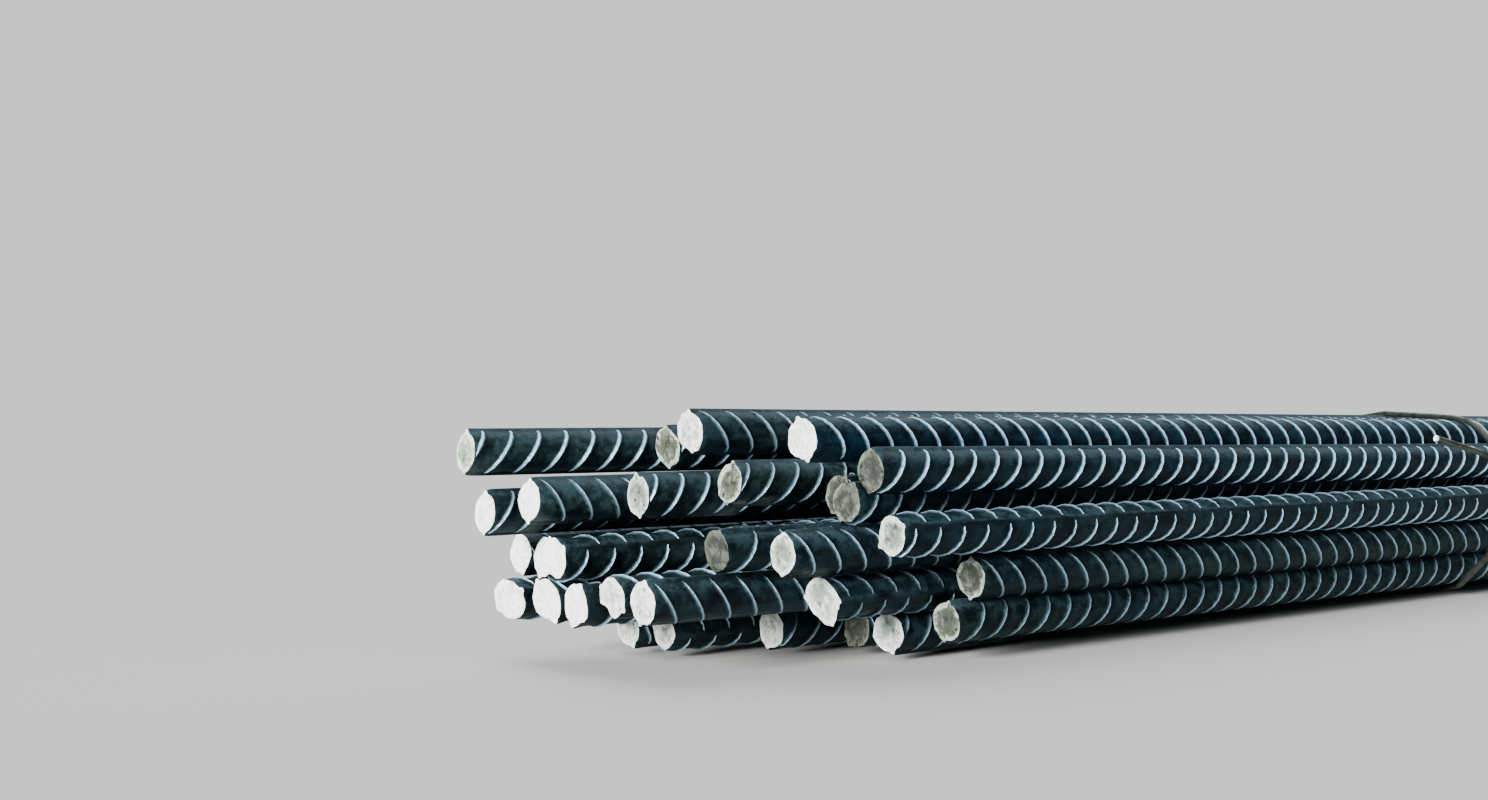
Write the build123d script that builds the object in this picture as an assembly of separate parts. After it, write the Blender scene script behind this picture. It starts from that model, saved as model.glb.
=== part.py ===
from build123d import *
import os
from math import acos, atan2, cos, hypot, radians, sin, sqrt, tau

# A bundle of straight ribbed reinforcing bars, held by three loops of wire.
# Sizes are in millimetres. The bars run along X and Z is up.
# Front means the -Y side, near means the -X end.

# Bars
bar_diameter = 20.0            # nominal size: the plain bar that weighs the same per metre
bar_length = 6000.0            # stock length
rib_stand_off = 0.6            # ribs keep the plain bodies of neighbouring bars this far apart
splay_length = 1500.0          # near stretch in which the bars spring apart

# Wire ties
wire_diameter = 3.6
seat_clearance = 0.3           # between a wire and the bars that it bears on
tie_spacing = 2432.0           # from the middle tie to the near and far ones
slack_lean = 0.45              # the slack near tie's front is nearer the near ends, per mm of Y
slack_reach = 18.0             # how far the slack near tie bows out past the outermost bar
slack_radius = 48.0            # roundness of that bow
slack_height = 50.0            # of the bow's middle above the lowest bars' middle
twist_angle = 112.0            # degrees round the loop, from the back, where its ends meet
slack_twist_angle = 172.0
twist_lift = 1.5               # from the loop's wire out to the middle of the twisted ends
twist_pitch = 16.0             # length of one full turn
twist_turns = 2.0
strand_gap = 0.1               # between the two twisted wires
short_tail = 9.0
long_tail = 44.0
tail_lead = 4.0                # straight bit of the long tail before its bend
tail_bend_radius = 16.0
twist_way = Vector(-1, -0.35, 0.2).normalized()
tail_way = Vector(-0.3, -0.45, -0.84).normalized()
slack_twist_way = Vector(-0.75, -0.3, 0.45).normalized()
slack_tail_way = Vector(-0.85, 0.3, 0.25).normalized()

# Layers from the bottom up, their bars from front to back, in bar diameters:
# how far a bar's near end is set back, and how far that end moves in Y and in Z
# from the bar's place in the tight rest of the bundle.
layers = {
    "bars_layer_1": [(4.5, -0.35, 0.35), (3.75, -0.15, 0), (3.75, -0.05, 0), (2, 0.1, 0),
                     (-0.25, 0.45, 0), (-0.5, 0.6, 0)],
    "bars_layer_2": [(5, -0.15, 0.5), (1.25, -0.05, 0.15), (-3, 0.1, 0.25), (-3, 0.25, 0.25),
                     (-3.25, 0.3, 0), (-3.25, 0.5, 0), (-3.5, 0.7, -0.05)],
    "bars_layer_3": [(2, -0.05, 0.8), (-0.25, 0.1, 0.4), (-1.25, 0.2, 0.45), (1.75, 0.25, 0.4),
                     (1.25, 0.3, 0.3), (-3.5, 0.35, 0.15), (-3, 0.45, 0.1), (-3, 0.5, 0.1)],
    "bars_layer_4": [(1.5, -0.4, 1.4), (1.75, -0.35, 0.6), (2.5, -0.25, 0.7), (0, -0.25, 1),
                     (-1.75, -0.05, 0.7), (-4, 0.1, 0.6), (-4.5, 0.2, 0.3)],
    "bars_layer_5": [(0.25, 0, 1.2), (3.5, 0, 0.95), (3, 0, 1.2), (-0.5, 0.1, 1.3),
                     (-0.25, 0.3, 0.9), (-5, 0.7, 0.8)],
}

# Sizes that follow
bar_radius = bar_diameter / 2
wire_radius = wire_diameter / 2
bar_pitch = bar_diameter + rib_stand_off
layer_rise = bar_pitch * sqrt(3) / 2
lowest_bar_z = wire_diameter + seat_clearance + bar_radius
splay_x = splay_length - bar_length / 2
setbacks = [bar[0] * bar_diameter for row in layers.values() for bar in row]
middle_setback = (min(setbacks) + max(setbacks)) / 2


def bar_run(layer_index, bars, i):
    """Near end, corner and far end of one bar's centre line."""
    y = (i - (len(bars) - 1) / 2) * bar_pitch
    z = lowest_bar_z + layer_index * layer_rise
    setback, dy, dz = (share * bar_diameter for share in bars[i])
    near_x = -bar_length / 2 + setback - middle_setback
    share = (splay_x - near_x) / splay_length
    return (Vector(near_x, y + share * dy, z + share * dz), Vector(splay_x, y, z),
            Vector(near_x + bar_length, y, z))


def make_bar(run):
    """One plain bar: two straight stretches, mitred where the splay begins."""
    near, corner, far = run
    way_in, way_out = (corner - near).normalized(), (far - corner).normalized()
    mitre = Plane(origin=corner, z_dir=way_in + way_out)
    stretches = []
    for end, way, keep in ((near, way_in, Keep.BOTTOM), (far, -way_out, Keep.TOP)):
        reach = (corner - end).length + bar_radius
        stretch = Plane(origin=end, z_dir=way) * extrude(Circle(bar_radius), reach)
        stretches.append(split(stretch, bisect_by=mitre, keep=keep))
    return stretches[0].fuse(stretches[1]).solid()


def places_at(x):
    """Places (y, z) of every bar where the plane X = x cuts the bundle."""
    places = []
    for index, bars in enumerate(layers.values()):
        for i in range(len(bars)):
            near, corner, far = bar_run(index, bars, i)
            start, end = (near, corner) if x < splay_x else (corner, far)
            point = start + (end - start) * ((x - start.X) / (end.X - start.X))
            places.append((point.Y, point.Z))
    return places


def belt(posts):
    """Arcs (centre, radius, start angle, end angle) of a belt drawn round the posts."""
    steps = 1440
    order = []
    for k in range(steps):
        # half a step off the axes, where a straight row of posts would all reach equally far
        c, s = cos((k + 0.5) * tau / steps), sin((k + 0.5) * tau / steps)
        outer = max(posts, key=lambda post: post[0] * c + post[1] * s + post[2])
        if not order or order[-1] is not outer:
            order.append(outer)
    if order[0] is order[-1]:
        order.pop()
    # a straight run leaves one post and meets the next where both reach equally far out
    turns = []
    for post, after in zip(order, order[1:] + order[:1]):
        dy, dz = after[0] - post[0], after[1] - post[1]
        turns.append((atan2(dz, dy) - acos((post[2] - after[2]) / hypot(dy, dz))) % tau)
    arcs = []
    for post, start, end in zip(order, turns[-1:] + turns, turns):
        arcs.append((post[:2], post[2], start, end if end > start else end + tau))
    return arcs


def belt_point(x, lean, arc, angle):
    (y, z), radius, _, _ = arc
    y += radius * cos(angle)
    return Vector(x + lean * y, y, z + radius * sin(angle))


def belt_way(lean, angle):
    return Vector(-lean * sin(angle), -sin(angle), cos(angle))


def belt_path(x, lean, arcs):
    """The belt as a closed wire through X = x, leaning along X where lean isn't 0."""
    edges = []
    for arc, after in zip(arcs, arcs[1:] + arcs[:1]):
        start, end = arc[2:]
        steps = 6 if lean else 2
        points = [belt_point(x, lean, arc, start + (end - start) * k / steps)
                  for k in range(steps + 1)]
        if lean:
            edges.append(Spline(*points, tangents=[belt_way(lean, start), belt_way(lean, end)]))
        else:
            edges.append(ThreePointArc(*points))
        edges.append(Line(points[-1], belt_point(x, lean, after, after[2])))
    return Wire(edges)


def swept_wire(path):
    """Wire along a path. Its six corners lie on the real wire's round surface."""
    section = Plane(origin=path @ 0, z_dir=path % 0) * RegularPolygon(wire_radius, 6)
    return sweep(section, path=path)


def bent_tail(start, way, last_way):
    """The long tail: a short lead, a bend over to its last way and a straight end."""
    lead = Line(start, start + way * tail_lead)
    inward = (last_way - way * last_way.dot(way)).normalized()
    turn = radians(way.get_angle(last_way))
    centre = lead @ 1 + inward * tail_bend_radius
    on_arc = [centre + (way * sin(a) - inward * cos(a)) * tail_bend_radius
              for a in (turn / 2, turn)]
    bend = ThreePointArc(lead @ 1, *on_arc)
    return swept_wire(Wire([lead, bend, Line(bend @ 1, bend @ 1 + last_way * long_tail)]))


def make_twist(base, along_loop, way_out, last_way):
    """The two wire ends twisted round each other, with one short and one long tail."""
    place = Plane(origin=base, x_dir=along_loop, z_dir=way_out)
    coil = Helix(pitch=twist_pitch, height=twist_pitch * twist_turns,
                 radius=wire_radius + strand_gap / 2)
    strand, other_strand = (place * (Rot(0, 0, turn) * coil) for turn in (0, 180))
    end, way = strand @ 1, (strand % 1).normalized()
    return [swept_wire(strand), swept_wire(Wire([Line(end, end + way * short_tail)])),
            swept_wire(other_strand),
            bent_tail(other_strand @ 1, (other_strand % 1).normalized(), last_way)]


def make_tie(x, slack):
    """One wire loop round the bundle at X = x, with its twisted ends."""
    wrap = bar_radius + seat_clearance + wire_radius
    posts = [(y, z, wrap) for y, z in places_at(x)]
    lean, angle, ways = 0, radians(twist_angle), (twist_way, tail_way)
    if slack:
        lean, angle = slack_lean, radians(slack_twist_angle)
        ways = slack_twist_way, slack_tail_way
        front = min(y for y, _, _ in posts) - wrap - slack_reach
        posts.append((front + slack_radius, lowest_bar_z + slack_height, slack_radius))
    arcs = belt(posts)
    arc = next(a for a in arcs if a[2] <= angle <= a[3])
    base = belt_point(x, lean, arc, angle) + Vector(0, cos(angle), sin(angle)) * twist_lift
    loop = swept_wire(belt_path(x, lean, arcs))
    return loop.fuse(*make_twist(base, belt_way(lean, angle), *ways)).solid()


def main():
    os.makedirs("parts", exist_ok=True)
    nodes = {}
    for index, (name, bars) in enumerate(layers.items()):
        nodes[name] = [make_bar(bar_run(index, bars, i)) for i in range(len(bars))]
    nodes["wire_ties"] = [make_tie(-tie_spacing, slack=True), make_tie(0, slack=False),
                          make_tie(tie_spacing, slack=False)]
    # the origin is the middle of the whole bundle's footprint
    box = Compound([solid for solids in nodes.values() for solid in solids]).bounding_box()
    to_origin = Pos(-box.center().X, -box.center().Y, -box.min.Z)
    for name, solids in nodes.items():
        export_step(Compound(children=[to_origin * solid for solid in solids]), f"parts/{name}.step")


main()
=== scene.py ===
import logging
import math
import random
from dataclasses import dataclass, field
from enum import Enum
from typing import Any, Sequence

import bpy
from bpy.types import Curve, Material, Node, NodeSocket, NodeTree, Object
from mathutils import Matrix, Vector


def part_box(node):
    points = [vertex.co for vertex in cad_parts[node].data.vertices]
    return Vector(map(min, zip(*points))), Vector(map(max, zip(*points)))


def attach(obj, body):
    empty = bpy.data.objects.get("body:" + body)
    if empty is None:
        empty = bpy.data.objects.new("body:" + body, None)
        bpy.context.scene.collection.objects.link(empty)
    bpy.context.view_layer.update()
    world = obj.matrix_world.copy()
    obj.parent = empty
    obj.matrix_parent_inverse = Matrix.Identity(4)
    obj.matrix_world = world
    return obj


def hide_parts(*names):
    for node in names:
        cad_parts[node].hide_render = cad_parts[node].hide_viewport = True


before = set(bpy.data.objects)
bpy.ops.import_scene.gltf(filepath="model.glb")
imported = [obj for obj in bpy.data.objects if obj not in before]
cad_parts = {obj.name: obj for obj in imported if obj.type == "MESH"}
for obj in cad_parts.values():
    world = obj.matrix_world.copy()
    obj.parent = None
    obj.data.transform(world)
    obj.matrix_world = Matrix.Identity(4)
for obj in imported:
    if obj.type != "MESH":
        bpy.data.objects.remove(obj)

log = logging.getLogger("rebar bundle")
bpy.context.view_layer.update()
Colour = tuple[float, float, float, float]
GEOMETRY = {"Geometry": "NodeSocketGeometry"}
MASK = {"Mask": "NodeSocketFloat"}


# Node graphs
class Value:
    """A socket of a node tree that can be added, multiplied and so on like a number."""

    def __init__(self, graph: "Graph", socket: NodeSocket) -> None:
        """Keep the socket and the graph that new nodes go into."""
        self.graph = graph
        self.socket = socket

    def __add__(self, other: Any) -> "Value":
        """The sum."""
        return self.graph.math("ADD", self, other)

    def __sub__(self, other: Any) -> "Value":
        """The difference."""
        return self.graph.math("SUBTRACT", self, other)

    def __rsub__(self, other: Any) -> "Value":
        """The difference from a number."""
        return self.graph.math("SUBTRACT", other, self)

    def __mul__(self, other: Any) -> "Value":
        """The product."""
        return self.graph.math("MULTIPLY", self, other)

    def __truediv__(self, other: Any) -> "Value":
        """The quotient."""
        return self.graph.math("DIVIDE", self, other)

    __radd__ = __add__


class Graph:
    """A node tree that is being built, for geometry or for a shader."""

    def __init__(self, tree: NodeTree) -> None:
        """Wrap an existing tree."""
        self.tree = tree

    @classmethod
    def group(cls, name: str, kind: str, inputs: dict[str, Any], outputs: dict[str, str]) -> "Graph":
        """Make a node group with named sockets.

        Args:
            name: The group's name.
            kind: "GeometryNodeTree" or "ShaderNodeTree".
            inputs: Name to starting value, or to a socket type where there is no value.
            outputs: Name to socket type.

        Returns:
            The graph, with its input and output nodes made.
        """
        tree = bpy.data.node_groups.new(name, kind)
        kinds = {float: "NodeSocketFloat", int: "NodeSocketInt", tuple: "NodeSocketColor"}
        for label, start in inputs.items():
            socket_type = start if isinstance(start, str) else kinds[type(start)]
            socket = tree.interface.new_socket(name=label, in_out="INPUT", socket_type=socket_type)
            if not isinstance(start, str):
                socket.default_value = start
        for label, socket_type in outputs.items():
            tree.interface.new_socket(name=label, in_out="OUTPUT", socket_type=socket_type)
        graph = cls(tree)
        graph.entry = tree.nodes.new("NodeGroupInput")
        graph.exit = tree.nodes.new("NodeGroupOutput")
        return graph

    def given(self, name: str) -> Value:
        """The group input of that name."""
        return Value(self, self.entry.outputs[name])

    def give(self, name: str, value: Value) -> None:
        """Connect a value to the group output of that name."""
        self.tree.links.new(value.socket, self.exit.inputs[name])

    def finish(self, geometry: Value) -> None:
        """Make all copies real and give them as the group's geometry."""
        self.give("Geometry", self.out("GeometryNodeRealizeInstances", {"Geometry": geometry}))

    def add(self, kind: str, values: dict[Any, Any] | None = None, **settings: Any) -> Node:
        """Add a node.

        Args:
            kind: The node's type.
            values: Input name or number to a plain value or a Value to link.
            **settings: The node's own settings.

        Returns:
            The node.
        """
        node = self.tree.nodes.new(kind)
        for label, setting in settings.items():
            setattr(node, label, setting)
        for key, value in (values or {}).items():
            if isinstance(value, Value):
                self.tree.links.new(value.socket, node.inputs[key])
            else:
                node.inputs[key].default_value = value
        return node

    def out(self, kind: str, values: dict[Any, Any] | None = None, output: Any = 0,
            **settings: Any) -> Value:
        """Add a node and take one of its outputs."""
        return Value(self, self.add(kind, values, **settings).outputs[output])

    def math(self, operation: str, *values: Any) -> Value:
        """A Math node."""
        return self.out("ShaderNodeMath", dict(enumerate(values)), operation=operation)

    def clamp(self, value: Value) -> Value:
        """The value held between 0 and 1."""
        return self.out("ShaderNodeClamp", {0: value, 1: 0.0, 2: 1.0})

    def ramp(self, value: Value, low: Any, high: Any) -> Value:
        """A smooth step from 0 at low to 1 at high."""
        return self.out("ShaderNodeMapRange", {0: value, 1: low, 2: high, 3: 0.0, 4: 1.0},
                        interpolation_type="SMOOTHSTEP")

    def vector(self, x: Any, y: Any, z: Any) -> Value:
        """A vector from three values."""
        return self.out("ShaderNodeCombineXYZ", {0: x, 1: y, 2: z})

    def split(self, vector: Value) -> list[Value]:
        """The three parts of a vector."""
        node = self.add("ShaderNodeSeparateXYZ", {0: vector})
        return [Value(self, node.outputs[k]) for k in range(3)]

    def place(self, geometry: Value, position: Value) -> Value:
        """Move each vertex to a new position."""
        return self.out("GeometryNodeSetPosition", {"Geometry": geometry, "Position": position})

    def here(self) -> list[Value]:
        """The vertex's own X, Y and Z."""
        return self.split(self.out("GeometryNodeInputPosition"))

    def join(self, *parts: Value) -> Value:
        """Several geometries as one.

        Args:
            *parts: The geometries, in the order that they keep.

        Returns:
            The joined geometry.
        """
        node = self.add("GeometryNodeJoinGeometry")
        for part in reversed(parts):
            self.tree.links.new(part.socket, node.inputs[0])
        return Value(self, node.outputs[0])

    def store(self, geometry: Value, name: str, value: Any) -> Value:
        """Store a number on every vertex under a name."""
        return self.out("GeometryNodeStoreNamedAttribute",
                        {"Geometry": geometry, "Name": name, "Value": value},
                        data_type="FLOAT", domain="POINT")

    def stored(self, name: str) -> Value:
        """In a shader, the number stored on the mesh under a name."""
        return self.out("ShaderNodeAttribute", attribute_name=name, attribute_type="GEOMETRY",
                        output="Fac")

    def noise(self, spot: Value, scale: Any, detail: float, roughness: float = 0.5) -> Value:
        """A Noise Texture's value at a spot."""
        return self.out("ShaderNodeTexNoise", {"Vector": spot, "Scale": scale, "Detail": detail,
                                               "Roughness": roughness})

    def painted(self, faces: Value, material: Material, chosen: Any = True) -> Value:
        """Give the chosen faces a material."""
        return self.out("GeometryNodeSetMaterial",
                        {"Geometry": faces, "Selection": chosen, "Material": material})

    def crease(self, geometry: Value, angle: float) -> Value:
        """Shade smooth, apart from sharp edges.

        Args:
            geometry: The faces.
            angle: Edges that bend by more than this, in radians, stay sharp.

        Returns:
            The shaded geometry.
        """
        smooth = self.out("GeometryNodeSetShadeSmooth", {"Geometry": geometry, "Shade Smooth": True})
        bend = self.out("GeometryNodeInputMeshEdgeAngle")
        sharp = self.out("FunctionNodeCompare", {0: bend, 1: angle},
                         data_type="FLOAT", operation="GREATER_THAN")
        return self.out("GeometryNodeStoreNamedAttribute",
                        {"Geometry": smooth, "Name": "sharp_edge", "Value": sharp},
                        data_type="BOOLEAN", domain="EDGE")


# Finishes
def linear(red: int, green: int, blue: int) -> Colour:
    """A display colour of three numbers up to 255 as a linear colour."""
    parts = [c / 255 for c in (red, green, blue)]
    return (*[c / 12.92 if c <= 0.04045 else ((c + 0.055) / 1.055) ** 2.4 for c in parts], 1.0)


def blotch_group() -> NodeTree:
    """The shader group for soft blotches and fine streaks, used by every finish.

    Returns:
        The group.
    """
    g = Graph.group("Blotches", "ShaderNodeTree",
                    {"Size": 0.02, "Stretch": 1.0, "Low": 0.4, "High": 0.6}, MASK)
    x, y, z = g.split(g.out("ShaderNodeTexCoord", output="Object"))
    spot = g.vector(x / g.given("Stretch"), y, z)
    noise = g.noise(spot, g.math("DIVIDE", 1.0, g.given("Size")), 3.0, 0.6)
    g.give("Mask", g.ramp(noise, g.given("Low"), g.given("High")))
    return g.tree


def wear_group() -> NodeTree:
    """The shader group for bare metal on rubbed crests, from the mesh's own crest value, which is
    lowered on some bars as painted shade.

    Returns:
        The group.
    """
    g = Graph.group("Crest wear", "ShaderNodeTree",
                    {"Start": 0.5, "Full": 0.8, "Break up": 0.3, "Size": 0.004}, MASK)
    spot = g.out("ShaderNodeTexCoord", output="Object")
    noise = g.noise(spot, g.math("DIVIDE", 1.0, g.given("Size")), 2.0)
    level = g.stored("crest") + (noise - 0.5) * g.given("Break up")
    g.give("Mask", g.ramp(level, g.given("Start"), g.given("Full")))
    return g.tree


class Effects:
    """The shared shader groups."""

    def __init__(self) -> None:
        """Build each group once."""
        self.blotches = blotch_group()
        self.wear = wear_group()

    def mask(self, g: Graph, tree: NodeTree, *values: float) -> Value:
        """Place a group in a material, with a value for each of its inputs in order."""
        return g.out("ShaderNodeGroup", dict(enumerate(values)), node_tree=tree)

    def spots(self, g: Graph, size: float, stretch: float, low: float, high: float) -> Value:
        """Blotches of a size in metres, drawn out along the bars where the stretch is over 1."""
        return self.mask(g, self.blotches, size, stretch, low, high)


def mixed(g: Graph, mask: Any, first: Any, second: Any) -> Value:
    """Blend two colours by a mask."""
    # the colour sockets are 6 and 7 in, 2 out
    return g.out("ShaderNodeMix", {0: mask, 6: first, 7: second}, output=2, data_type="RGBA")


def new_material(name: str, values: dict[str, Any]) -> tuple[Material, Graph, Node]:
    """A material with its Principled BSDF.

    Args:
        name: The material's name.
        values: The shader's inputs that are alike all over.

    Returns:
        The material, its graph and its Principled BSDF node.
    """
    material = bpy.data.materials.new(name)
    material.use_nodes = True
    graph = Graph(material.node_tree)
    shader = next(n for n in material.node_tree.nodes if n.type == "BSDF_PRINCIPLED")
    for label, value in values.items():
        shader.inputs[label].default_value = value
    return material, graph, shader


def connect(g: Graph, value: Value, shader: Node, socket: str) -> None:
    """Link a value to a socket of the shader."""
    g.tree.links.new(value.socket, shader.inputs[socket])


def bumped(g: Graph, shader: Node, size: float, height: float,
           stretch: float = 1.0) -> None:
    """Give a shader a fine uneven surface.

    Args:
        g: The material's graph.
        shader: The shader whose normal is changed.
        size: The size of the unevenness in metres.
        height: Its height in metres.
        stretch: How much longer it is along the bars.
    """
    x, y, z = g.split(g.out("ShaderNodeTexCoord", output="Object"))
    noise = g.noise(g.vector(x / stretch, y, z), 1 / size, 4.0, 0.6)
    bump = g.out("ShaderNodeBump", {"Height": noise, "Distance": height, "Strength": 1.0},
                 output="Normal")
    connect(g, bump, shader, "Normal")


@dataclass(frozen=True)
class MillScale:
    """Blue-black rolled steel whose crests have rubbed bright, with painted top light on its upper faces
    and painted shade on the crests of some bars.
    """

    dark: Colour = linear(1, 4, 6)
    teal: Colour = linear(13, 33, 40)
    blue: Colour = linear(8, 34, 52)
    green: Colour = linear(24, 39, 34)
    soot: Colour = linear(3, 3, 4)
    brown: Colour = linear(16, 13, 15)
    # dust, and also the colour of the painted top light on upward faces
    dust_and_top_light: Colour = linear(44, 62, 68)
    dull: Colour = linear(88, 103, 112)
    bright: Colour = linear(166, 212, 237)
    sheen: Colour = (0.5, 0.85, 1.0, 1.0)
    shine: float = 0.12
    roughness: float = 0.46
    bright_roughness: float = 0.34

    def build(self, effects: Effects) -> Material:
        """Make the material.

        Args:
            effects: The shared shader groups.

        Returns:
            The material.
        """
        plain = {"Specular IOR Level": self.shine, "Specular Tint": self.sheen}
        material, g, shader = new_material("rolled steel with worn ribs", plain)
        patches = effects.spots(g, 0.022, 1.8, 0.42, 0.6)
        mottle = effects.spots(g, 0.0055, 1.3, 0.42, 0.6)
        sooty = effects.spots(g, 0.009, 1.6, 0.48, 0.62)
        rust = effects.spots(g, 0.013, 1.8, 0.58, 0.75)
        streaks = effects.spots(g, 0.005, 0.14, 0.5, 0.7)
        broad = effects.spots(g, 0.07, 2.0, 0.44, 0.58)
        tint = mixed(g, g.stored("blue"), mixed(g, broad, self.teal, self.green), self.blue)
        body = mixed(g, patches * 0.45 + mottle * 0.55, self.dark, tint)
        body = mixed(g, streaks * 0.5, body, tint)
        body = mixed(g, sooty * 0.75, body, self.soot)
        body = mixed(g, rust * 0.6, body, self.brown)
        # painted top light: faces that point up are lightened toward the dust colour, as if lit from
        # above
        normal = g.out("ShaderNodeNewGeometry", output="Normal")
        painted_top_light = g.ramp(g.split(normal)[2], 0.2, 0.95)
        body = mixed(g, painted_top_light * (mottle * 0.65 + 0.2), body, self.dust_and_top_light)
        dusty = g.stored("dusty") * (1.0 - sooty * 0.8) * (mottle * 0.55 + 0.25)
        body = mixed(g, dusty, body, self.dust_and_top_light)
        # the crests have rubbed bare, brightest along their middle; on some bars they are dimmed by a
        # lower wear value, which is painted shade
        worn_and_shaded = effects.mask(g, effects.wear, 0.2, 0.44, 0.32, 0.005)
        uneven = effects.spots(g, 0.007, 1.0, 0.34, 0.56)
        middle = g.ramp(g.stored("crest"), 0.3, 0.75) * (uneven * 0.4 + 0.6)
        steel = mixed(g, middle, self.dull, self.bright)
        connect(g, mixed(g, worn_and_shaded, body, steel), shader, "Base Color")
        connect(g, worn_and_shaded * 0.55 + 0.1, shader, "Metallic")
        rough = mottle * 0.18 + self.roughness - worn_and_shaded * (self.roughness - self.bright_roughness)
        connect(g, rough, shader, "Roughness")
        bumped(g, shader, 0.0018, 0.0006, 1.3)
        return material


@dataclass(frozen=True)
class CutFace:
    """A sheared end: pale broken steel, on some bars gone olive-grey."""

    pale: Colour = linear(255, 254, 248)
    grey: Colour = linear(146, 162, 150)
    olive: Colour = linear(66, 72, 54)
    stain: Colour = linear(44, 45, 32)
    pit: Colour = linear(24, 27, 25)

    def build(self, effects: Effects) -> Material:
        """Make the material.

        Args:
            effects: The shared shader groups.

        Returns:
            The material.
        """
        material, g, shader = new_material("sheared bar end", {})
        tone = g.stored("end_tone")
        from_middle = g.stored("from_middle")
        broad = effects.spots(g, 0.007, 1.0, 0.36, 0.62)
        grain = effects.spots(g, 0.0022, 1.0, 0.42, 0.6)
        pits = effects.spots(g, 0.0034, 1.0, 0.56, 0.66)
        stained = effects.spots(g, 0.006, 1.0, 0.5, 0.66)
        # aged ends are darkest in the middle
        rim = g.ramp(from_middle + broad * 0.35, 0.8, 1.15)
        tone = tone * (1.2 - rim * 0.75)
        greyed = tone * 1.5 * (broad * 0.8 + 0.4) + grain * 0.3 + broad * 0.12
        face = mixed(g, g.clamp(greyed), self.pale, self.grey)
        aged = g.ramp(tone, 0.4, 1.1)
        face = mixed(g, g.clamp(aged * (broad * 0.5 + 0.75)), face, self.olive)
        face = mixed(g, stained * g.clamp(aged * 0.6 + tone * 0.25), face, self.stain)
        face = mixed(g, pits * g.clamp(tone * 0.7 + 0.3), face, self.pit)
        face = mixed(g, g.ramp(tone, 0.9, 2.0) * (broad * 0.5 + 0.5), face, self.pit)
        connect(g, face, shader, "Base Color")
        connect(g, broad * 0.2 + 0.5, shader, "Roughness")
        bumped(g, shader, 0.0014, 0.0009)
        return material


@dataclass(frozen=True)
class TieSteel:
    """Soft annealed wire, grey-brown with a dull shine."""

    grey: Colour = linear(64, 68, 62)
    brown: Colour = linear(33, 34, 28)
    cut: Colour = linear(255, 255, 252)

    def build(self, effects: Effects) -> Material:
        """Make the material.

        Args:
            effects: The shared shader groups.

        Returns:
            The material.
        """
        material, g, shader = new_material("annealed tie wire", {})
        rust = effects.spots(g, 0.006, 1.0, 0.4, 0.7)
        fresh = g.stored("fresh_cut")
        wire = mixed(g, rust, self.grey, self.brown)
        connect(g, mixed(g, fresh, wire, self.cut), shader, "Base Color")
        connect(g, rust * 0.2 + 0.34, shader, "Roughness")
        connect(g, 0.75 - fresh * 0.75, shader, "Metallic")
        bumped(g, shader, 0.0012, 0.0002)
        return material


# Bars

# inputs of a ribbed bar: those worked out for each one, and its looks, named as in Bar
PLACE = ("Near X", "Y", "Z", "Corner", "Slope Y", "Slope Z", "Turn", "Phase", "Seed", "Lean Y", "Lean Z")
LOOKS = ("Tone", "Wear", "Dusty", "Flare", "Notch", "Notch At", "Blue")


class Facing(Enum):
    """Which side of a bar faces the front, as its turn about its own line in degrees."""

    RISING_RIBS = 0
    LONG_RIB = 90
    FALLING_RIBS = 180


@dataclass(frozen=True)
class Bar:
    """One bar's own place and looks. Lengths are in bar diameters.

    The near end is spread by a share of its radius (flare). At an angle in degrees from the top
    toward the front (notch_at) it is torn in by another share (notch), or out where that is below 0.
    """

    setback: float
    move_y: float
    move_z: float
    facing: Facing
    turn: float = 0.0
    tone: float = 0.1
    lean_y: float = 0.0
    # how bare its rib crests are rubbed; set lower on some bars as painted shade
    wear: float = 0.7
    dusty: float = 0.3
    flare: float = 0.0
    notch: float = 0.0
    notch_at: float = 180.0
    blue: float = 0.0


@dataclass(frozen=True)
class EndSizes:
    """What the shears do to a bar's end: lengths in metres, unevenness as a share of the radius."""

    skew_length: float = 0.06      # the askew face drags the bar along this far
    rim_row: float = 0.7           # share of the rows that lie on the face
    round_length: float = 0.0012
    rounding: float = 0.04
    pinch: float = 0.16
    pinch_scale: float = 1.0
    ragged: float = 0.17
    ragged_length: float = 0.002
    ragged_scale: float = 3.4
    notch_cosine: float = 0.83     # cosine of the angle from a notch's middle to its side
    rim_turn: float = 1.3          # how quickly the unevenness changes round the rim
    flat_power: float = 6.0        # how close to the rim the face stays rough
    far_wall_seed: float = 9.0
    far_face_seed: float = 5.0
    coarse: float = 0.0032
    coarse_scale: float = 110.0
    fine: float = 0.0018
    fine_scale: float = 420.0


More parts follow.
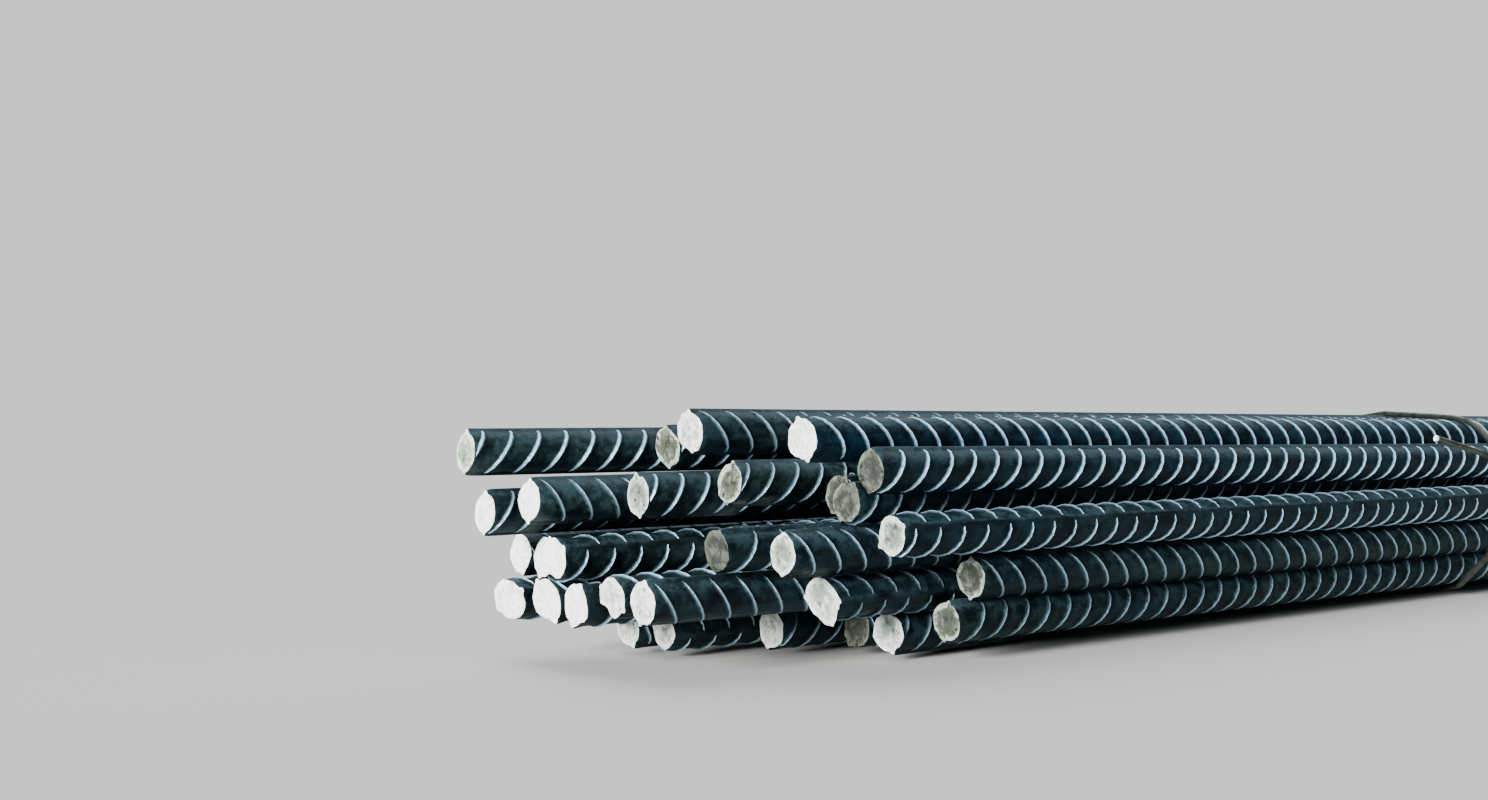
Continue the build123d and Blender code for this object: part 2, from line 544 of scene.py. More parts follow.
@dataclass(frozen=True)
class BarSizes:
    """What all the bars share, in metres."""

    diameter: float = 0.020
    length: float = 6.0
    core: float = 0.0096
    # crescent ribs: tip, taper and fade say how low, narrow and unworn they get at their ends
    rib_height: float = 0.0012
    rib_foot: float = 0.0020
    rib_reach: float = math.radians(86)
    rib_tip: float = 0.35
    rib_taper: float = 0.35
    rib_fade: float = 0.3
    rib_lean: float = 0.0066
    rib_pitch: float = 0.0154
    rib_outset: float = 0.7
    rib_steps: int = 5
    fine_rib_steps: int = 8
    fine_ribs: int = 40
    end_margin: float = 0.0006     # no rib comes nearer to an end than this
    dive_length: float = 0.0008    # past the margin, a rib sinks within this length
    # long ribs: their flanks run from the first to the second sine of the angle off their crest
    long_height: float = 0.0015
    long_wear: float = 0.2
    long_foot: float = 0.22
    long_crest: float = 0.04
    sunk: float = 0.0003
    # mesh of the body, which meets each end's own mesh one stub's length in
    stub: float = 0.006
    columns: int = 28
    crowding: float = 0.35
    splay_rows: int = 8
    cap_rows: int = 10
    weld: float = 2e-5
    sharp: float = 1.22
    # length of the near stretch in which the bars spread, and of each half of its soft corner
    splay: float = 1.5
    blend: float = 0.3
    ends: EndSizes = EndSizes()

    def shared(self) -> dict[str, float]:
        """The inputs that every bar of the bundle gets alike."""
        return {"Length": self.length, "Core Radius": self.core, "Rib Height": self.rib_height,
                "Rib Pitch": self.rib_pitch, "Rib Lean": self.rib_lean}


class RibbedBar:
    """The Geometry Nodes tree of one ribbed bar, made straight, then splayed and put in place."""

    def __init__(self, sizes: BarSizes, steel: Material, cut: Material) -> None:
        """Build the tree once.

        Args:
            sizes: The bars' shared sizes.
            steel: The finish of the body and the ribs.
            cut: The finish of the end faces.
        """
        self.sizes = sizes
        self.steel = steel
        self.cut = cut
        inputs = {**sizes.shared(), **dict.fromkeys(PLACE + LOOKS, 0.0)}
        self.g = Graph.group("Ribbed bar", "GeometryNodeTree", inputs, GEOMETRY)
        self.tree = self.g.tree
        self.build()

    def build(self) -> None:
        """Join the body, the two ends and the two rows of ribs, and move them to their place."""
        g, s = self.g, self.sizes
        steel_body = self.body()
        near, far = self.end(False), self.end(True)
        plain = g.out("GeometryNodeMergeByDistance",
                      {"Geometry": g.join(steel_body, near, far), "Distance": s.weld})
        ribs = g.join(*[self.row(side, shift, fine) for side, shift in ((1.0, 0.0), (-1.0, 0.5))
                        for fine in (True, False)])
        everything = g.join(plain, ribs)
        x, y, z = g.here()
        # the shear drags the face askew, less and less away from the end
        fade = g.ramp(x, s.ends.skew_length, 0.0)
        far_fade = g.ramp(g.given("Length") - x, s.ends.skew_length, 0.0)
        askew = y * g.given("Lean Y") + z * g.given("Lean Z")
        skewed = x + askew * fade - askew * far_fade
        angle = g.math("RADIANS", g.given("Turn"))
        turned = g.out("ShaderNodeVectorRotate", {"Vector": g.vector(skewed, y, z), "Angle": angle},
                       rotation_type="X_AXIS")
        x, y, z = g.split(turned)
        # from the corner on toward the near end the bar curves off along its slope
        into = g.math("MAXIMUM", g.given("Corner") - x + s.blend, 0.0)
        bend = g.math("MINIMUM", into, 2 * s.blend)
        rise = bend * bend / (4 * s.blend) + g.math("MAXIMUM", into - 2 * s.blend, 0.0)
        placed = g.vector(x + g.given("Near X"), y + g.given("Y") + rise * g.given("Slope Y"),
                          z + g.given("Z") + rise * g.given("Slope Z"))
        bar = g.place(everything, placed)
        for name, label in (("end_tone", "Tone"), ("dusty", "Dusty"), ("blue", "Blue")):
            bar = g.store(bar, name, g.given(label))
        g.finish(g.crease(bar, s.sharp))

    def grid(self, across: int, along: int) -> tuple[Value, Value, Value]:
        """A sheet whose u and v run from 0 to 1.

        Args:
            across: Vertices along u.
            along: Vertices along v.

        Returns:
            The sheet, u and v.
        """
        g = self.g
        sheet = g.out("GeometryNodeMeshGrid",
                      {"Size X": 1.0, "Size Y": 1.0, "Vertices X": across, "Vertices Y": along})
        u, v, _ = g.here()
        return sheet, u + 0.5, v + 0.5

    def around(self, u: Value) -> tuple[Value, Value]:
        """The angle of a column, with the columns crowded at the long ribs.

        Args:
            u: How far round the bar the column is, from 0 to 1.

        Returns:
            The angle from the top long rib, and how far the column is up a long rib, from 0 to 1.
        """
        g, s = self.g, self.sizes
        angle = u * math.tau - g.math("SINE", u * (2 * math.tau)) * s.crowding
        side = g.math("ABSOLUTE", g.math("SINE", angle))
        return angle, g.ramp(side, s.long_foot, s.long_crest)

    def round(self, x: Value, angle: Value, radius: Value) -> Value:
        """A point round the bar's line."""
        g = self.g
        return g.vector(x, g.math("SINE", angle) * radius * -1.0, g.math("COSINE", angle) * radius)

    def body(self) -> Value:
        """The plain round body with its two long ribs.

        Returns:
            The body without its two ends.
        """
        g, s = self.g, self.sizes
        sheet, u, v = self.grid(s.columns + 1, s.splay_rows + 2)
        angle, crest = self.around(u)
        radius = g.given("Core Radius") + crest * s.long_height
        # even rows as far as the bar is splayed, then one long stretch to the far end
        row = v * (s.splay_rows + 1)
        straight = g.given("Corner") + s.blend
        splayed = s.stub + row * (straight - s.stub) / s.splay_rows
        last = g.clamp(row - s.splay_rows)
        x = g.math("MINIMUM", splayed, straight)
        x = x + last * (g.given("Length") - s.stub - x)
        sheet = g.store(sheet, "crest", crest * s.long_wear)
        shell = g.place(sheet, self.round(x, angle, radius))
        return g.painted(shell, self.steel)

    def end(self, far: bool) -> Value:
        """A sheared end face with its rounded rim and the first few millimetres of the bar.

        Args:
            far: True for the far end, False for the near one with its own flare and notch.

        Returns:
            The end, which meets the body.
        """
        g, s, e = self.g, self.sizes, self.sizes.ends
        sheet, u, v = self.grid(s.columns + 1, s.cap_rows + 1)
        angle, crest = self.around(u)
        rim = e.rim_row
        inside = g.math("MINIMUM", v / rim, 1.0)
        beyond = g.math("MAXIMUM", v - rim, 0.0) / (1 - rim)
        x = beyond * beyond * s.stub
        on_wall = g.ramp(v, rim - 0.04, rim + 0.02)
        sheet = g.store(sheet, "crest", crest * on_wall * s.long_wear)
        sheet = g.store(sheet, "from_middle", inside)
        is_wall = g.out("FunctionNodeCompare", {0: v, 1: rim}, data_type="FLOAT",
                        operation="GREATER_THAN")
        sheet = g.painted(g.painted(sheet, self.cut), self.steel, is_wall)
        # the wall is out of round where the blades pinched it, and round again at the stub's end
        sine, cosine = g.math("SINE", angle), g.math("COSINE", angle)
        way = g.vector(sine * e.rim_turn, cosine * e.rim_turn,
                       g.given("Seed") + (e.far_wall_seed if far else 0.0))
        torn = (g.noise(way, e.pinch_scale, 1.0) - 0.5) * e.pinch
        ragged = (g.noise(way, e.ragged_scale, 0.0) - 0.5) * e.ragged
        outer = g.given("Core Radius") + crest * s.long_height
        if not far:
            bite = g.math("COSINE", angle + g.math("RADIANS", g.given("Turn") - g.given("Notch At")))
            torn = torn + g.given("Flare") - g.ramp(bite, e.notch_cosine, 1.0) * g.given("Notch")
        radius = outer * (1.0 - g.ramp(x, e.round_length, 0.0) * e.rounding
                          + torn * g.ramp(x, s.stub, 0.0)
                          + ragged * g.ramp(x, e.ragged_length, 0.0)) * inside
        # the face is rough, less so toward its rim
        spot = g.vector(sine * radius, cosine * radius,
                        g.given("Seed") + (e.far_face_seed if far else 0.0))
        coarse = (g.noise(spot, e.coarse_scale, 1.0) - 0.5) * e.coarse
        fine = (g.noise(spot, e.fine_scale, 2.0) - 0.5) * e.fine
        flat = 1.0 - g.math("POWER", inside, e.flat_power)
        x = x - (coarse + fine) * flat
        if far:
            x = g.given("Length") - x
        shaped = g.place(sheet, self.round(x, angle, radius))
        return g.out("GeometryNodeFlipFaces", {"Mesh": shaped}) if far else shaped

    def rib(self, side: float, steps: int) -> Value:
        """One crescent rib across a side of the bar.

        Args:
            side: 1 for a rib of the front row, -1 for one of the back row.
            steps: How many straight pieces it is made of.

        Returns:
            The rib at X = 0, sunk a little into the body.
        """
        g, s = self.g, self.sizes
        sheet, u, v = self.grid(steps + 1, 4)
        reach = u * 2.0 - 1.0
        square = reach * reach
        width = g.math("SQRT", g.clamp(1.0 - square * square)) * (1.0 - square * s.rib_taper)
        height = 1.0 - square * (1.0 - s.rib_tip)
        # the straight steps cut inside the round, so their corners stand out a little
        outset = s.core * (1 / math.cos(s.rib_reach / steps) - 1) * s.rib_outset
        # the four rows are one foot, the crest, the other foot and the first again, to close it
        corner = v * 3.0
        crest = g.clamp(1.0 - g.math("ABSOLUTE", corner - 1.0) * 2.0)
        right = g.clamp(1.0 - g.math("ABSOLUTE", corner - 2.0) * 2.0)
        across = right * 2.0 + crest - 1.0
        foot = g.given("Core Radius") + (outset - s.sunk)
        radius = foot + crest * (height * g.given("Rib Height") + s.sunk)
        angle = reach * s.rib_reach
        x = g.math("SINE", angle) * g.given("Rib Lean") + across * width * s.rib_foot
        point = g.vector(x, g.math("COSINE", angle) * radius * -side, g.math("SINE", angle) * radius)
        # the crest's bare steel, scaled by the bar's wear value, which is lowered on some bars as
        # painted shade
        sheet = g.store(sheet, "crest", crest * g.given("Wear") * (1.0 - square * s.rib_fade))
        rib = g.out("GeometryNodeMergeByDistance",
                    {"Geometry": g.place(sheet, point), "Distance": s.weld / 2})
        if side > 0:
            rib = g.out("GeometryNodeFlipFaces", {"Mesh": rib})
        return g.painted(rib, self.steel)

    def row(self, side: float, shift: float, fine: bool) -> Value:
        """A row of ribs down a side of the bar.

        Args:
            side: 1 for the front row, -1 for the back row.
            shift: How far the row is shifted along, as a share of the pitch.
            fine: True for the smoother ribs of the near stretch, False for the rest.

        Returns:
            The ribs of that stretch.
        """
        g, s = self.g, self.sizes
        rib = self.rib(side, s.fine_rib_steps if fine else s.rib_steps)
        pitch = g.given("Rib Pitch")
        start = g.math("WRAP", (g.given("Phase") + shift) * pitch, pitch, 0.0)
        count: Any = s.fine_ribs
        if not fine:
            start = start + pitch * s.fine_ribs
            count = g.math("FLOOR", g.given("Length") / pitch) - s.fine_ribs
        line = g.out("GeometryNodeMeshLine",
                     {"Count": count, "Start Location": g.vector(start, 0.0, 0.0),
                      "Offset": g.vector(pitch, 0.0, 0.0)})
        copies = g.out("GeometryNodeInstanceOnPoints", {"Points": line, "Instance": rib}, output=0)
        ribs = g.out("GeometryNodeRealizeInstances", {"Geometry": copies})
        # a rib that would pass the end of the bar dives into the body there instead
        x, y, z = g.here()
        held = g.math("MINIMUM", g.math("MAXIMUM", x, s.end_margin),
                      g.given("Length") - s.end_margin)
        past = g.ramp(g.math("ABSOLUTE", x - held), 0.0, s.dive_length)
        radius = g.math("SQRT", y * y + z * z)
        shrink = 1.0 - past * (1.0 - (g.given("Core Radius") - s.sunk) / radius)
        return g.place(ribs, g.vector(held, y * shrink, z * shrink))


@dataclass
class BarLayer:
    """A layer of bars that lie side by side, front to back."""

    name: str
    level: int
    bars: Sequence[Bar]

    def build(self, bundle: "Bundle") -> Object:
        """Evaluate one ribbed bar for each place and join them to one mesh.

        Args:
            bundle: The bundle that says where the layers lie.

        Returns:
            The finished piece.
        """
        shared = bundle.sizes.shared()
        g = Graph.group(self.name, "GeometryNodeTree", {**GEOMETRY, **shared}, GEOMETRY)
        parts = []
        for number, bar in enumerate(self.bars):
            node = g.add("GeometryNodeGroup")
            node.node_tree = bundle.bar_tree.tree
            for label in shared:
                g.tree.links.new(g.given(label).socket, node.inputs[label])
            for label, value in bundle.placing(self, number).items():
                node.inputs[label].default_value = value
            parts.append(Value(g, node.outputs[0]))
        g.finish(g.join(*parts))
        piece = baked(self.name, g.tree, shared)
        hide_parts(self.name)
        return piece


def baked(name: str, tree: NodeTree, values: dict[str, Any],
          data: Curve | None = None) -> Object:
    """Run a geometry tree on an object and keep the result as a plain mesh.

    Args:
        name: The finished piece's name.
        tree: The geometry tree.
        values: Input name to value.
        data: A curve for the tree to work on, or None for an empty mesh.

    Returns:
        An object at the origin with a plain mesh.
    """
    source = bpy.data.objects.new(name + " source", data or bpy.data.meshes.new(name + " source"))
    bpy.context.scene.collection.objects.link(source)
    modifier = source.modifiers.new("Tree", "NODES")
    modifier.node_group = tree
    for item in tree.interface.items_tree:
        if item.in_out == "INPUT" and item.name in values:
            modifier[item.identifier] = values[item.name]
    depsgraph = bpy.context.evaluated_depsgraph_get()
    mesh = bpy.data.meshes.new_from_object(source.evaluated_get(depsgraph), depsgraph=depsgraph)
    mesh.name = name
    source.modifiers.clear()
    bpy.data.objects.remove(source)
    piece = bpy.data.objects.new(name.replace("bars_", "ribbed_bars_"), mesh)
    bpy.context.scene.collection.objects.link(piece)
    return piece


# Ties
@dataclass
class WireTie:
    """One loop of wire round the bundle, its two ends twisted together."""

    name: str
    x: float
    lean: float = 0.0
    slack: bool = False
    twist_angle: float = math.radians(112)
    twist_way: Vector = field(default_factory=lambda: Vector((-1, -0.35, 0.2)).normalized())
    tail_way: Vector = field(default_factory=lambda: Vector((-0.3, -0.45, -0.84)).normalized())
    wire: float = 0.0018           # the wire's radius
    gap: float = 0.00005           # half the gap between the two strands
    seat: float = 0.0003           # between the wire and the bars
    slack_reach: float = 0.018
    slack_radius: float = 0.048
    slack_height: float = 0.050
    twist_lift: float = 0.0015
    twist_pitch: float = 0.016
    twist_turns: float = 2.0
    mouth: float = 0.007           # the loop opens this far before the strands
    bridge_pull: float = 1.4
    short_tail: float = 0.009
    long_tail: float = 0.044
    tail_lead: float = 0.004
    tail_bend: float = 0.016
    least_step: float = 0.0005

    def belt(self, bundle: "Bundle") -> list[Vector]:
        """Points of the wire's middle line, a belt drawn round the bars.

        Args:
            bundle: The bundle that the tie holds.

        Returns:
            The points, from the twisted ends round to them.
        """
        wrap = bundle.sizes.diameter / 2 + self.seat + self.wire
        posts = [(y, z, wrap) for y, z in bundle.places_at(self.x)]
        if self.slack:
            front = min(y for y, _, _ in posts) - wrap - self.slack_reach
            posts.append((front + self.slack_radius, bundle.lowest_z + self.slack_height,
                          self.slack_radius))
        points = []
        steps = 720
        for k in range(steps):
            angle = self.twist_angle + k * math.tau / steps
            c, s = math.cos(angle), math.sin(angle)
            y, z, r = max(posts, key=lambda post: post[0] * c + post[1] * s + post[2])
            y, z = y + r * c, z + r * s
            points.append(Vector((self.x + self.lean * (y - bundle.origin.y), y, z)))
        return points

    def coil(self, base: Vector, along: Vector, half_turn: float) -> list[Vector]:
        """Points of one strand of the twisted ends.

        Args:
            base: Where the twist begins.
            along: The loop's way there.
            half_turn: The strand's own turn, in radians.

        Returns:
            The points outward from the base.
        """
        way = self.twist_way
        side = (along - way * along.dot(way)).normalized()
        other = way.cross(side)
        radius = self.wire + self.gap
        points = []
        steps = 48
        for k in range(steps + 1):
            angle = math.tau * self.twist_turns * k / steps + half_turn
            points.append(base + way * (self.twist_pitch * self.twist_turns * k / steps)
                          + (side * math.cos(angle) + other * math.sin(angle)) * radius)
        return points

    def tail(self, points: list[Vector], bent: bool) -> list[Vector]:
        """The plain end that carries on from a strand.

        Args:
            points: The strand.
            bent: True for the long tail that bends over.

        Returns:
            The points after the strand's last.
        """
        start, way = points[-1], (points[-1] - points[-2]).normalized()
        short_steps, bend_steps, long_steps = 3, 8, 4
        if not bent:
            return [start + way * self.short_tail * k / short_steps
                    for k in range(1, short_steps + 1)]
        lead = start + way * self.tail_lead
        inward = (self.tail_way - way * self.tail_way.dot(way)).normalized()
        turn = way.angle(self.tail_way)
        centre = lead + inward * self.tail_bend
        line = [lead]
        for k in range(1, bend_steps + 1):
            a = turn * k / bend_steps
            line.append(centre + (way * math.sin(a) - inward * math.cos(a)) * self.tail_bend)
        return line + [line[-1] + self.tail_way * self.long_tail * k / long_steps
                       for k in range(1, long_steps + 1)]

    def bridge(self, start: Vector, way_out: Vector, end: Vector, way_in: Vector) -> list[Vector]:
        """A smooth bend from the loop into a strand.

        Args:
            start: Where the loop is left.
            way_out: The wire's way there.
            end: Where the strand begins.
            way_in: The wire's way there.

        Returns:
            The points between the two.
        """
        pull = (end - start).length * self.bridge_pull
        points = []
        steps = 8
        for k in range(1, steps):
            t = k / steps
            points.append(start * (2 * t**3 - 3 * t**2 + 1) + way_out * pull * (t**3 - 2 * t**2 + t)
                          + end * (3 * t**2 - 2 * t**3) + way_in * pull * (t**3 - t**2))
        return points

    def line(self, bundle: "Bundle") -> list[Vector]:
        """The one length of wire: tail, strand, loop, strand, bent tail.

        Args:
            bundle: The bundle that the tie holds.

        Returns:
            The points from one cut tip to the other.
        """
        loop = self.belt(bundle)
        along = (loop[1] - loop[-1]).normalized()
        outward = Vector((0, math.cos(self.twist_angle), math.sin(self.twist_angle)))
        base = loop[0] + outward * self.twist_lift
        loop = [p for p in loop if (p - loop[0]).length > self.mouth]
        first, last = self.coil(base, along, 0.0), self.coil(base, along, math.pi)
        into = self.bridge(first[0], (first[0] - first[1]).normalized(), loop[0],
                           (loop[1] - loop[0]).normalized())
        out_of = self.bridge(loop[-1], (loop[-1] - loop[-2]).normalized(), last[0],
                             (last[1] - last[0]).normalized())
        return ((first + self.tail(first, False))[::-1] + into + loop + out_of
                + last + self.tail(last, True))

    def build(self, bundle: "Bundle", tree: NodeTree) -> Object:
        """Draw the wire's line and sweep it.

        Args:
            bundle: The bundle that the tie holds.
            tree: The tree that sweeps wire along a line.

        Returns:
            The finished piece.
        """
        curve = bpy.data.curves.new(self.name, "CURVE")
        curve.dimensions = "3D"
        points = self.line(bundle)
        spaced = [points[0]]
        for point in points[1:]:
            if (point - spaced[-1]).length > self.least_step:
                spaced.append(point)
        spline = curve.splines.new("POLY")
        spline.points.add(len(spaced) - 1)
        for item, point in zip(spline.points, spaced):
            item.co = (*point, 1.0)
        piece = baked(self.name, tree, {"Wire Radius": self.wire}, curve)
        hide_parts("wire_ties")
        return piece


def wire_tree(finish: Material) -> NodeTree:
    """The Geometry Nodes tree that sweeps round wire along lines.

    Args:
        finish: The wire's material.

    Returns:
        The tree.
    """
    g = Graph.group("Swept wire", "GeometryNodeTree",
                    {**GEOMETRY, "Wire Radius": 0.0018, "Step": 0.0016, "Sides": 10}, GEOMETRY)
    line = g.out("GeometryNodeResampleCurve",
                 {"Curve": g.given("Geometry"), "Length": g.given("Step")}, mode="LENGTH")
    ring = g.out("GeometryNodeCurvePrimitiveCircle",
                 {"Resolution": g.given("Sides"), "Radius": g.given("Wire Radius")})
    # only this share of the wire's length is freshly cut at either end
    tip = 0.0015
    off_middle = g.math("ABSOLUTE", g.out("GeometryNodeSplineParameter") - 0.5)
    line = g.store(line, "fresh_cut", g.ramp(off_middle, 0.5 - tip, 0.5))
    sweep = g.out("GeometryNodeCurveToMesh",
                  {"Curve": line, "Profile Curve": ring, "Fill Caps": True})
    g.finish(g.painted(g.crease(sweep, 1.0), finish))
    return g.tree


# The bundle
RISE, FALL, LONG = Facing.RISING_RIBS, Facing.FALLING_RIBS, Facing.LONG_RIB
LAYERS = (
    BarLayer("bars_layer_1", 0, (
        Bar(4.5, -0.35, 0.35, RISE, 14, 1.3, 0.03, 0.47, 0.2),
        Bar(3.75, -0.15, 0, RISE, -15, 0.45, -0.15, 0.52),
        Bar(3.75, -0.05, 0, FALL, 30, 2.0), Bar(2, 0.1, 0, RISE, 18, 0.3, 0.0, 0.52),
        Bar(-0.25, 0.45, 0, LONG, 10, 0.35), Bar(-0.5, 0.6, 0, FALL, -20, 0.3))),
    BarLayer("bars_layer_2", 1, (
        Bar(5, -0.15, 0.5, FALL, 5, 1.3, 0.0, 0.52, 0.2),
        Bar(1.25, -0.05, 0.15, LONG, 0, 0.55, -0.2, 0.48, 0.5, 0.08, -0.3, 165),
        Bar(-3, 0.1, 0.25, FALL, 16, 0.3, 0.0, 0.54, 0.5, 0.04),
        Bar(-3, 0.25, 0.25, LONG, 30, 0.4, 0.0, 0.7, 0.3, 0.0, 0.35, 215),
        Bar(-3.25, 0.3, 0, RISE, 25, 0.0, 0.0, 0.7, 0.3, 0.1, 0.2, 160),
        Bar(-3.25, 0.5, 0, FALL, -35, 0.05, 0.0, 0.7, 0.3, 0.13, 0.2, 190),
        Bar(-3.5, 0.7, -0.05, LONG, -30, 0.08, -0.25, 0.7, 0.3, 0.05))),
    BarLayer("bars_layer_3", 2, (
        Bar(2, -0.05, 0.8, RISE, 60, 0.62, 0.0, 0.66, 0.1, blue=0.3),
        Bar(-0.25, 0.1, 0.4, FALL, 0, 0.6, 0.0, 0.56),
        Bar(-1.25, 0.2, 0.45, RISE, 20, 2.0, 0.0, 0.6), Bar(1.75, 0.25, 0.4, RISE, 50, 0.3),
        Bar(1.25, 0.3, 0.3, FALL, 40, 0.2),
        Bar(-3.5, 0.35, 0.15, RISE, 55, 0.0, 0.0, 0.68, 0.6, 0.1, 0.3, 190),
        Bar(-3, 0.45, 0.1, RISE, 20, 0.0), Bar(-3, 0.5, 0.1, FALL, -20, 0.03))),
    BarLayer("bars_layer_4", 3, (
        Bar(1.5, -0.4, 1.4, RISE, 8, 1.8, 0.07, 0.88, 0.1, blue=0.4),
        Bar(1.75, -0.35, 0.6, RISE, 30, 1.7, 0.0, 0.55), Bar(2.5, -0.25, 0.7, FALL, 30, 1.8),
        Bar(0, -0.25, 1, RISE, 5, 1.0, 0.07, 0.64, 0.4),
        Bar(-1.75, -0.05, 0.7, RISE, -8, 0.66, 0.0, 0.85, 0.6),
        Bar(-4, 0.1, 0.6, FALL, 0, 0.0, 0.0, 0.55, 1.0), Bar(-4.5, 0.2, 0.3, RISE, 0, 0.0, 0.04))),
    BarLayer("bars_layer_5", 4, (
        Bar(0.25, 0, 1.2, FALL, -18, 0.15, 0.04, 0.76, 0.1, blue=0.7), Bar(3.5, 0, 0.95, RISE, 15, 0.3),
        Bar(3, 0, 1.2, FALL, 40, 0.3), Bar(-0.5, 0.1, 1.3, FALL, 0, 0.3, 0.04, 0.58, 0.5),
        Bar(-0.25, 0.3, 0.9, RISE, 0, 1.1), Bar(-5, 0.7, 0.8, RISE, 0, 0.6, 0.05, 1.1, 0.8))),
)


@dataclass
class Bundle:
    """The whole bundle: five layers of bars and three ties."""

    sizes: BarSizes
    layers: Sequence[BarLayer]
    bar_tree: RibbedBar
    wire: NodeTree
    pitch: float = 0.0206
    lowest_z: float = 0.0139
    tie_spacing: float = 2.432
    # how far the random draws for each bar reach
    seeds: float = 90.0
    askew_y: float = 0.04
    askew_z: float = 0.12
    origin: Vector = field(default_factory=Vector)

    def __post_init__(self) -> None:
        """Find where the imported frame's origin lies from the layers that stay straight."""
        top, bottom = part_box("bars_layer_5"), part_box("bars_layer_1")
        half = self.sizes.diameter / 2
        self.origin = Vector((0.0, top[0].y + (len(self.layers[4].bars) - 1) / 2 * self.pitch + half,
                              bottom[0].z - self.lowest_z + half))
        latest = max(bar.setback for bar in self.layers[1].bars) * self.sizes.diameter
        self.origin.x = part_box("bars_layer_2")[1].x - (self.sizes.length / 2 + latest)
        log.info("the frame's origin is at %s", [round(v, 5) for v in self.origin])

    def run(self, layer: BarLayer, number: int) -> tuple[float, Vector, Vector]:
        """Where a bar lies: its near X, its place in the tight rest, and its slope in Y and Z.

        Args:
            layer: The bar's layer.
            number: Its number in the layer, from the front.

        Returns:
            The near X, the place and the slope.
        """
        bar = layer.bars[number]
        near_x = -self.sizes.length / 2 + bar.setback * self.sizes.diameter + self.origin.x
        y = (number - (len(layer.bars) - 1) / 2) * self.pitch + self.origin.y
        z = self.lowest_z + layer.level * self.pitch * math.sqrt(3) / 2 + self.origin.z
        slope = Vector((0.0, bar.move_y, bar.move_z)) * self.sizes.diameter / self.sizes.splay
        return near_x, Vector((0.0, y, z)), slope

    def places_at(self, x: float) -> list[tuple[float, float]]:
        """The places of the bars in a cut across the bundle.

        Args:
            x: Where the bundle is cut across.

        Returns:
            The (y, z) of each bar.
        """
        places = []
        for layer in self.layers:
            for number in range(len(layer.bars)):
                _, tight, slope = self.run(layer, number)
                point = tight + slope * max(0.0, self.splay_x() - x)
                places.append((point.y, point.z))
        return places

    def splay_x(self) -> float:
        """Where the bars begin to spread."""
        return self.sizes.splay - self.sizes.length / 2 + self.origin.x

    def placing(self, layer: BarLayer, number: int) -> dict[str, float]:
        """The values of one bar for the ribbed bar tree.

        Args:
            layer: The bar's layer.
            number: Its number in the layer, from the front.

        Returns:
            Input name to value.
        """
        bar = layer.bars[number]
        near_x, tight, slope = self.run(layer, number)
        draw = random.Random(100 * layer.level + number)
        place = (near_x, tight.y, tight.z, self.splay_x() - near_x, slope.y, slope.z,
                 bar.facing.value + bar.turn, draw.random(), draw.uniform(0, self.seeds),
                 bar.lean_y + draw.uniform(-self.askew_y, self.askew_y),
                 draw.uniform(-self.askew_z, self.askew_z))
        looks = [getattr(bar, label.lower().replace(" ", "_")) for label in LOOKS]
        return {label: float(value) for label, value in zip(PLACE + LOOKS, (*place, *looks))}

    def build(self) -> list[tuple[Object, str]]:
        """Build every piece.

        Returns:
            Each piece with a label, bar_steel or tie_wire, that nothing here uses.
        """
        pieces = [(layer.build(self), "bar_steel") for layer in self.layers]
        ties = (WireTie("near_tie", -self.tie_spacing, lean=0.45, slack=True,
                        twist_angle=math.radians(172),
                        twist_way=Vector((-0.75, -0.3, 0.45)).normalized(),
                        tail_way=Vector((-0.85, 0.3, 0.25)).normalized()),
                WireTie("middle_tie", 0.0), WireTie("far_tie", self.tie_spacing))
        for tie in ties:
            tie.x += self.origin.x
            pieces.append((tie.build(self, self.wire), "tie_wire"))
        return pieces


# The studio
@dataclass(frozen=True)
class Sun:
    """A soft lamp that lights everything evenly from one way, its spread in degrees."""

    name: str
    way: tuple[float, float, float]
    strength: float
    spread: float

    def on_floor(self) -> float:
        """How much of its light a level floor sends back, for a white floor."""
        return self.strength * Vector(self.way).normalized().z / math.pi

    def hang(self) -> None:
        """Add it to the scene."""
        lamp = bpy.data.lights.new(self.name, "SUN")
        lamp.energy = self.strength
        lamp.angle = math.radians(self.spread)
        holder = bpy.data.objects.new(self.name, lamp)
        holder.location = self.way
        holder.rotation_mode = "QUATERNION"
        holder.rotation_quaternion = Vector(self.way).to_track_quat("Z", "Y")
        bpy.context.scene.collection.objects.link(holder)


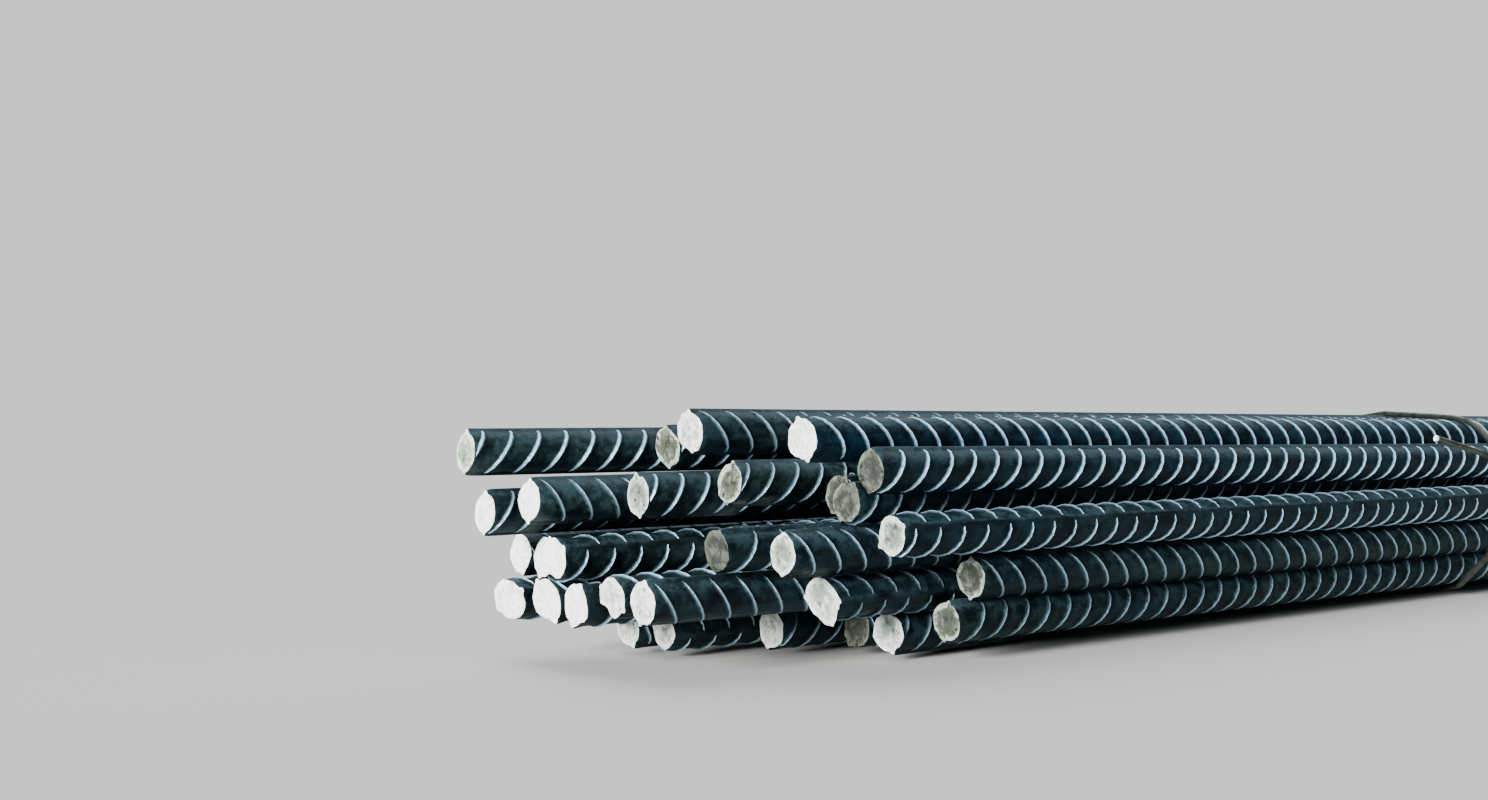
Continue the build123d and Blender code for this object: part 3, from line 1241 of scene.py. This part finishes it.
@dataclass(frozen=True)
class Studio:
    """A pale floor, soft lights and the camera low at the bundle's front left."""

    floor_size: float = 40.0       # from the middle to each side
    lens: float = 45.36
    floor_colour: Colour = linear(180, 179, 176)
    sky: tuple[float, float, float] = (0.17, 0.26, 0.32)
    suns: tuple[Sun, ...] = (Sun("ends", (-1.0, -0.22, 0.27), 15.0, 20),
                             Sun("overhead", (0.15, 0.4, 1.0), 2.0, 70),
                             Sun("far", (1.0, 0.35, 0.5), 1.0, 50))
    camera_x: float = -3.5475
    camera_y: float = -0.6921
    camera_z: float = 0.1359
    heading: float = math.atan2(0.777, 0.629)
    horizon_pixels: float = 20.0   # above the middle of the photograph
    focal_pixels: float = 1875.0
    pitch: float = -math.atan2(horizon_pixels, focal_pixels)

    def lay_floor(self) -> None:
        """Lay the floor under the bundle."""
        mesh = bpy.data.meshes.new("floor")
        a = self.floor_size
        mesh.from_pydata([(-a, -a, 0), (a, -a, 0), (a, a, 0), (-a, a, 0)], [], [(0, 1, 2, 3)])
        floor = bpy.data.objects.new("floor", mesh)
        bpy.context.scene.collection.objects.link(floor)
        plain = {"Base Color": self.floor_colour, "Roughness": 0.9, "Specular IOR Level": 0.0}
        mesh.materials.append(new_material("pale floor", plain)[0])

    def light(self) -> None:
        """Hang the lamps in an even sky, which the camera sees as more of the lit floor."""
        world = bpy.data.worlds.new("studio")
        world.use_nodes = True
        sky = Graph(world.node_tree)
        backing = world.node_tree.nodes["Background"]
        backing.inputs["Color"].default_value = (*self.sky, 1.0)
        backdrop = sky.add("ShaderNodeBackground", {"Color": (*self.far_floor(), 1.0)})
        seen = sky.out("ShaderNodeLightPath", output="Is Camera Ray")
        blend = sky.add("ShaderNodeMixShader", {0: seen, 1: Value(sky, backing.outputs[0]),
                                                2: Value(sky, backdrop.outputs[0])})
        world.node_tree.links.new(blend.outputs[0], world.node_tree.nodes["World Output"].inputs[0])
        bpy.context.scene.world = world
        for sun in self.suns:
            sun.hang()

    def aim_camera(self, origin: Vector) -> None:
        """Put the camera where the photograph was taken.

        Args:
            origin: Where the bundle's own origin lies.
        """
        view = bpy.data.cameras.new("camera")
        view.lens = self.lens
        view.sensor_width = 36.0
        view.clip_start = 0.02
        camera = bpy.data.objects.new("camera", view)
        camera.location = Vector((self.camera_x, self.camera_y, self.camera_z)) + origin
        forward = Vector((math.cos(self.heading) * math.cos(self.pitch),
                          math.sin(self.heading) * math.cos(self.pitch), math.sin(self.pitch)))
        camera.rotation_mode = "QUATERNION"
        camera.rotation_quaternion = forward.to_track_quat("-Z", "Y")
        bpy.context.scene.collection.objects.link(camera)
        bpy.context.scene.camera = camera

    def far_floor(self) -> list[float]:
        """The colour of the lit floor, for a backdrop that meets it."""
        lit = sum(sun.on_floor() for sun in self.suns)
        return [c * (s + lit) for c, s in zip(self.floor_colour, self.sky)]


def main() -> None:
    """Build the bundle round the frame, then the studio."""
    effects = Effects()
    sizes = BarSizes()
    bars = RibbedBar(sizes, MillScale().build(effects), CutFace().build(effects))
    bundle = Bundle(sizes, LAYERS, bars, wire_tree(TieSteel().build(effects)))
    for piece, slot in bundle.build():
        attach(piece, "root")
        piece.data.calc_loop_triangles()
        log.info("%s: %d triangles", piece.name, len(piece.data.loop_triangles))
    studio = Studio()
    studio.lay_floor()
    studio.light()
    studio.aim_camera(bundle.origin)


if __name__ == "__main__":
    logging.basicConfig(level=logging.INFO, format="%(name)s: %(message)s")
    main()
